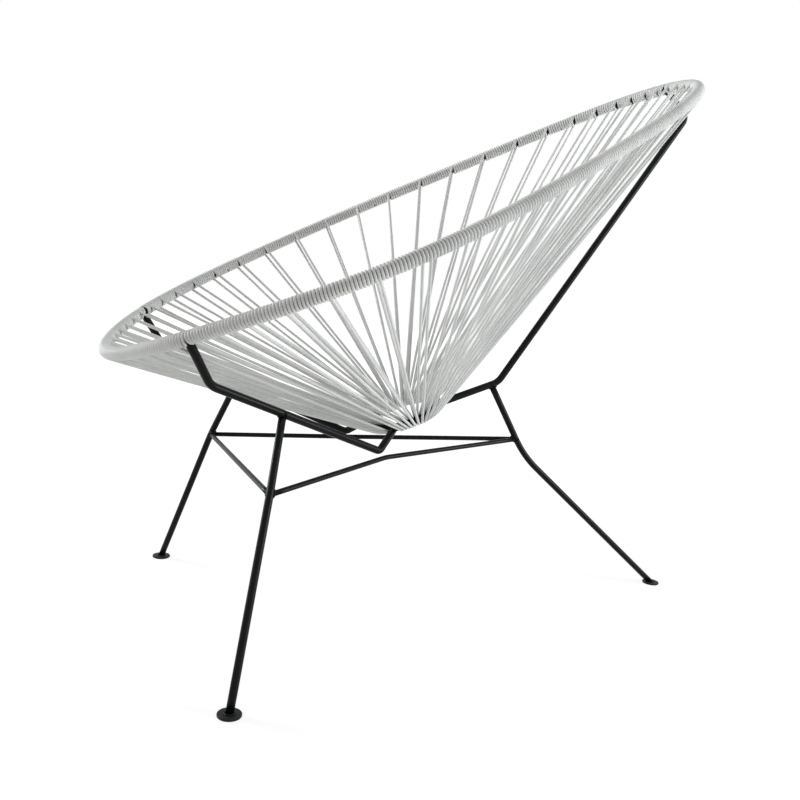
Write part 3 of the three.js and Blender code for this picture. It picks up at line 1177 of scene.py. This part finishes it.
@dataclass
class WeldBeads:
    """Small fillets of weld where a rod's end meets the side of another."""

    rods: WeldedFrame
    bead_radius: float = 0.0014
    end_seat: float = 0.35
    body_seat: float = 0.25
    ripple: float = 0.16
    ripples: int = 14
    swell: float = 0.08
    swells: int = 3
    lap_radius: float = 0.0036
    lap_gap: float = 0.00015
    points: int = 96
    sides: int = 12

    def _saddle(self, joint: Joint) -> Array:
        """The line where a rod's skin meets the skin of the rod that it ends on.

        Args:
            joint: The two rods, with the ending rod's direction towards the other.

        Returns:
            A closed line of points, a little outside both skins.
        """
        run, body_run = unit(joint.run), joint.body_run
        side = across(body_run, run)
        other = np.cross(run, side)
        reach = joint.radius + self.bead_radius * self.end_seat
        body_reach = self.rods.rod_radius + self.bead_radius * self.body_seat
        line = []
        for angle in lap_angles(self.points):
            ring = side * math.cos(angle) + other * math.sin(angle)
            start = joint.end + reach * ring - joint.body
            slope = run - body_run * float(run @ body_run)
            offset = start - body_run * float(start @ body_run)
            a = float(slope @ slope)
            b = float(2 * offset @ slope)
            c = float(offset @ offset) - body_reach**2
            room = max(b * b - 4 * a * c, 0.0)
            line.append(start + joint.body + run * (-b - math.sqrt(room)) / (2 * a))
        return np.array(line)

    def _bead(self, name: str, line: Array) -> None:
        """Makes one bead, rippled as the torch leaves it.

        Args:
            name: The bead's name.
            line: The closed line that it lies on.
        """
        angles = lap_angles(len(line))
        ripple = self.ripple * np.cos(self.ripples * angles)
        size = 1 + ripple + self.swell * np.cos(self.swells * angles + 1)
        skin = Skin().tube(line, self.bead_radius * size, self.sides, closed=True)
        settle(skin.build(name, POWDER_COAT.material()), Slot.FRAME_PAINT)

    def _joints(self) -> list[Joint]:
        """Lists every joint of a rod's end, from the rim down.

        Returns:
            The joints.
        """
        rods = self.rods
        thick, thin = rods.rod_radius, rods.thin_radius
        rim, ring, leg = rods.arm_rim, rods.arm_ring, rods.leg_head
        back_rim, back_leg, start = rods.back_rim, rods.back_leg_head, rods.back_start
        head_run, leg_run = back_rim - rods.back_head, back_leg - rods.back_knee
        arm_run = unit(rods.heel - rods.elbow)
        back_arm_run = unit(rods.back_elbow - start)
        side, meet, meet_run = rods.side_stretcher, rods.front_meet, rods.front_meet_run
        front, back = side[0] - side[1], side[-1] - side[-2]
        return [
            Joint("arm_rim", rim, rim - rods.elbow, thick, rim, rods.arm_rim_along),
            Joint("arm_ring", ring, ring - rods.heel, thick, ring, rods.arm_ring_along),
            Joint("leg_arm", leg, leg - rods.knee, thick, rods.elbow, arm_run),
            Joint("back_arm_rim", back_rim, head_run, thick, back_rim, SIDEWAYS, paired=False),
            Joint("back_leg_arm", back_leg, leg_run, thick, start, back_arm_run, paired=False),
            Joint("stretcher_front", meet, front, thin, meet, meet_run),
            Joint("stretcher_back", rods.back_meet, back, thin, back_leg, rods.back_leg_run),
            Joint("front_stretcher", meet, SIDEWAYS, thin, meet, meet_run),
        ]

    def build(self) -> None:
        """Makes the bead of every joint, and the one where the back arm lies under the ring."""
        for joint in self._joints():
            line = self._saddle(joint)
            if joint.paired:
                self._bead(f"weld_{joint.name}_left", line)
                self._bead(f"weld_{joint.name}_right", mirrored(line))
            else:
                self._bead(f"weld_{joint.name}", line)
        rods = self.rods
        middle = rods.lap - rods.ring.axis * (rods.rod_radius + self.lap_gap)
        forward = unit(np.cross(rods.ring.axis, SIDEWAYS))
        angles = lap_angles(self.points)[:, None]
        around = SIDEWAYS * np.cos(angles) + forward * np.sin(angles)
        self._bead("weld_back_arm_ring", middle + self.lap_radius * around)


@dataclass(frozen=True)
class FootDiscs:
    """Flat round discs that the legs stand on, edges eased, a bead of weld round each leg."""

    rods: WeldedFrame
    radius: float = 0.0143
    thickness: float = 0.003
    edge: float = 0.0007
    edge_points: int = 5
    inner_share: float = 0.45
    sides: int = 64
    bead_radius: float = 0.0012
    bead_reach: float = 0.0007
    bead_height: float = 0.0033
    ripple: float = 0.14
    ripples: int = 13
    bead_points: int = 72
    bead_sides: int = 10

    def _profile(self) -> list[Pair]:
        """Radius and height from the bottom's middle to the top's, with both edges rounded.

        Returns:
            The corners of the profile.
        """
        angles = np.linspace(0, math.pi / 2, self.edge_points)
        corner = [(math.sin(a), 1 - math.cos(a)) for a in angles]
        low = [(self.radius - self.edge + self.edge * s, self.edge * h) for s, h in corner]
        high = [(r, self.thickness - z) for r, z in reversed(low)]
        inner = self.radius * self.inner_share
        return [(inner, 0.0), *low, *high, (inner, self.thickness)]

    def _bead(self, centre: Array) -> Skin:
        """A rippled bead of weld round a leg's end.

        Args:
            centre: The foot's middle on the floor.

        Returns:
            The bead.
        """
        angles = lap_angles(self.bead_points)
        reach = self.rods.rod_radius + self.bead_reach
        level = np.full(self.bead_points, self.bead_height)
        ring = [centre[0] + reach * np.cos(angles), centre[1] + reach * np.sin(angles), level]
        size = self.bead_radius * (1 + self.ripple * np.cos(self.ripples * angles))
        return Skin().tube(np.stack(ring, axis=1), size, self.bead_sides, closed=True)

    def build(self) -> None:
        """Makes the three discs and the beads round the legs."""
        left, back = self.rods.foot, self.rods.back_foot
        for name, foot in (("left", left), ("right", mirrored(left)), ("back", back)):
            centre = vec(foot[0], foot[1], 0)
            disc = Skin().lathe(self._profile(), centre, self.sides)
            piece = disc.build(f"foot_{name}", FOOT_COAT.material())
            settle(piece, Slot.FOOT_PAINT, f"foot_disc_{name}")
            bead = self._bead(centre).build(f"weld_foot_{name}", POWDER_COAT.material())
            settle(bead, Slot.FRAME_PAINT)


@dataclass(frozen=True)
class Lamp:
    """One soft square lamp."""

    name: str
    place: Triple
    size: float
    power: float
    colour: Triple

    def hang(self, target: Array) -> None:
        """Hangs the lamp so that it faces a place.

        Args:
            target: The place that it faces.
        """
        data = bpy.data.lights.new(self.name, "AREA")
        data.size = self.size
        data.energy = self.power
        data.color = self.colour
        lamp = linked(self.name, data)
        lamp.location = Vector(self.place)
        facing = Vector(target - np.array(self.place))
        lamp.rotation_euler = facing.to_track_quat("-Z", "Y").to_euler()


@dataclass(frozen=True)
class Studio:
    """Pale floor, even light and a camera where the photograph was taken from."""

    lens: float = 38.17
    sensor: float = 36.0
    nearest: float = 0.01
    farthest: float = 100.0
    place: Triple = (1.15164, -0.57146, 0.5030)
    yaw: float = 1.14949
    pitch: float = 0.14201
    roll: float = 0.0887
    world_strength: float = 0.42
    world_colour: Triple = (1.0, 0.985, 0.955)
    floor_size: float = 14.0
    floor_colour: Triple = (0.90, 0.89, 0.87)
    floor_shade: float = 0.25
    glow_near: float = 0.80
    glow_from: float = 0.7
    glow_to: float = 2.2
    target: Triple = (0.0, 0.0, 0.4)
    lamps: tuple[Lamp, ...] = (
        Lamp("right_back", (1.8, 2.6, 0.9), 1.0, 66.0, (0.93, 0.97, 1.0)),
        Lamp("front_left", (-1.8, -2.2, 1.0), 1.0, 68.0, (0.95, 0.98, 1.0)),
        Lamp("overhead", (0.5, -0.3, 2.6), 1.2, 6.0, (1.0, 1.0, 1.0)),
    )

    def camera(self) -> None:
        """Places the camera."""
        data = bpy.data.cameras.new("camera")
        data.lens = self.lens
        data.sensor_width = self.sensor
        data.clip_start = self.nearest
        data.clip_end = self.farthest
        eye = linked("camera", data)
        level = vec(-math.sin(self.yaw), math.cos(self.yaw), 0)
        right = vec(math.cos(self.yaw), math.sin(self.yaw), 0)
        look = math.cos(self.pitch) * level - math.sin(self.pitch) * UP
        top = math.cos(self.pitch) * UP + math.sin(self.pitch) * level
        turned_right = math.cos(self.roll) * right + math.sin(self.roll) * top
        turned_top = -math.sin(self.roll) * right + math.cos(self.roll) * top
        columns = (turned_right, turned_top, -look, np.array(self.place))
        rows = [[float(column[row]) for column in columns] for row in range(3)]
        eye.matrix_world = Matrix([*rows, [0, 0, 0, 1]])
        bpy.context.scene.camera = eye

    def floor(self) -> None:
        """Lays a pale floor that keeps a faint shadow."""
        half = self.floor_size / 2
        mesh = bpy.data.meshes.new("floor")
        corners = [(-half, -half, 0), (half, -half, 0), (half, half, 0), (-half, half, 0)]
        mesh.from_pydata(corners, [], [(0, 1, 2, 3)])
        mesh.materials.append(self._floor_material())
        linked("floor", mesh)

    def _floor_material(self) -> bpy.types.Material:
        """Matt off-white to light, nearly white to the eye and in reflections.

        Returns:
            The floor's material.
        """
        made = bpy.data.materials.new("studio_floor")
        made.use_nodes = True
        board = NodeBoard(made.node_tree)
        seen = self._seen(board)
        plain = board.put("BsdfDiffuse", {"Color": (*self.floor_colour, 1)})
        place = board.put("TexCoord")
        distance = board.put("VectorMath", operation="LENGTH")
        radii = {"From Min": self.glow_from, "From Max": self.glow_to}
        fade = board.put("MapRange", {**radii, "To Min": self.glow_near, "To Max": 1.0})
        board.wire(place, "Object", distance, 0)
        board.wire(distance, "Value", fade, "Value")
        glow = board.put("Emission", {"Color": (1, 1, 1, 1)})
        board.wire(fade, "Result", glow, "Strength")
        shade = (self.floor_shade,) * 3
        share = board.put("BsdfDiffuse", {"Color": (*shade, 1)})
        bright = board.put("AddShader")
        mix = board.put("MixShader")
        out = board.put("OutputMaterial")
        board.wire(glow, 0, bright, 0)
        board.wire(share, 0, bright, 1)
        board.wire(seen, 0, mix, 0)
        board.wire(plain, 0, mix, 1)
        board.wire(bright, 0, mix, 2)
        board.wire(mix, 0, out, "Surface")
        return made

    @staticmethod
    def _seen(board: NodeBoard) -> bpy.types.Node:
        """A mask of the rays from the camera, from gloss and through glass.

        Args:
            board: Where its nodes are placed.

        Returns:
            The node whose first output is the mask.
        """
        path = board.put("LightPath")
        first = board.put("Math", operation="MAXIMUM")
        both = board.put("Math", operation="MAXIMUM")
        board.wire(path, "Is Camera Ray", first, 0)
        board.wire(path, "Is Glossy Ray", first, 1)
        board.wire(first, 0, both, 0)
        board.wire(path, "Is Transmission Ray", both, 1)
        return both

    def world(self) -> None:
        """Sets an even pale surround that looks white."""
        world = bpy.data.worlds.new("studio")
        world.use_nodes = True
        board = NodeBoard(world.node_tree)
        light = board.put(
            "Background", {"Color": (*self.world_colour, 1), "Strength": self.world_strength}
        )
        white = board.put("Background", {"Color": (1, 1, 1, 1), "Strength": 1.0})
        mix = board.put("MixShader")
        out = board.put("OutputWorld")
        board.wire(self._seen(board), 0, mix, 0)
        board.wire(light, 0, mix, 1)
        board.wire(white, 0, mix, 2)
        board.wire(mix, 0, out, "Surface")
        bpy.context.scene.world = world

    def build(self) -> None:
        """Sets the whole studio."""
        self.camera()
        self.floor()
        self.world()
        for lamp in self.lamps:
            lamp.hang(np.array(self.target))
        bpy.context.scene.view_settings.view_transform = "Standard"
        log.info("studio set")


def main() -> None:
    """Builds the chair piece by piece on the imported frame."""
    logging.basicConfig(level=logging.INFO, format="%(name)s: %(message)s")
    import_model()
    line = RimLine()
    ring = GatherRing()
    shell = CordShell(line, ring)
    Studio().build()
    RimRod(line).build()
    ring.build()
    shell.build()
    frame = WeldedFrame(line, ring, shell)
    frame.build()
    FootDiscs(frame).build()


if __name__ == "__main__":
    main()
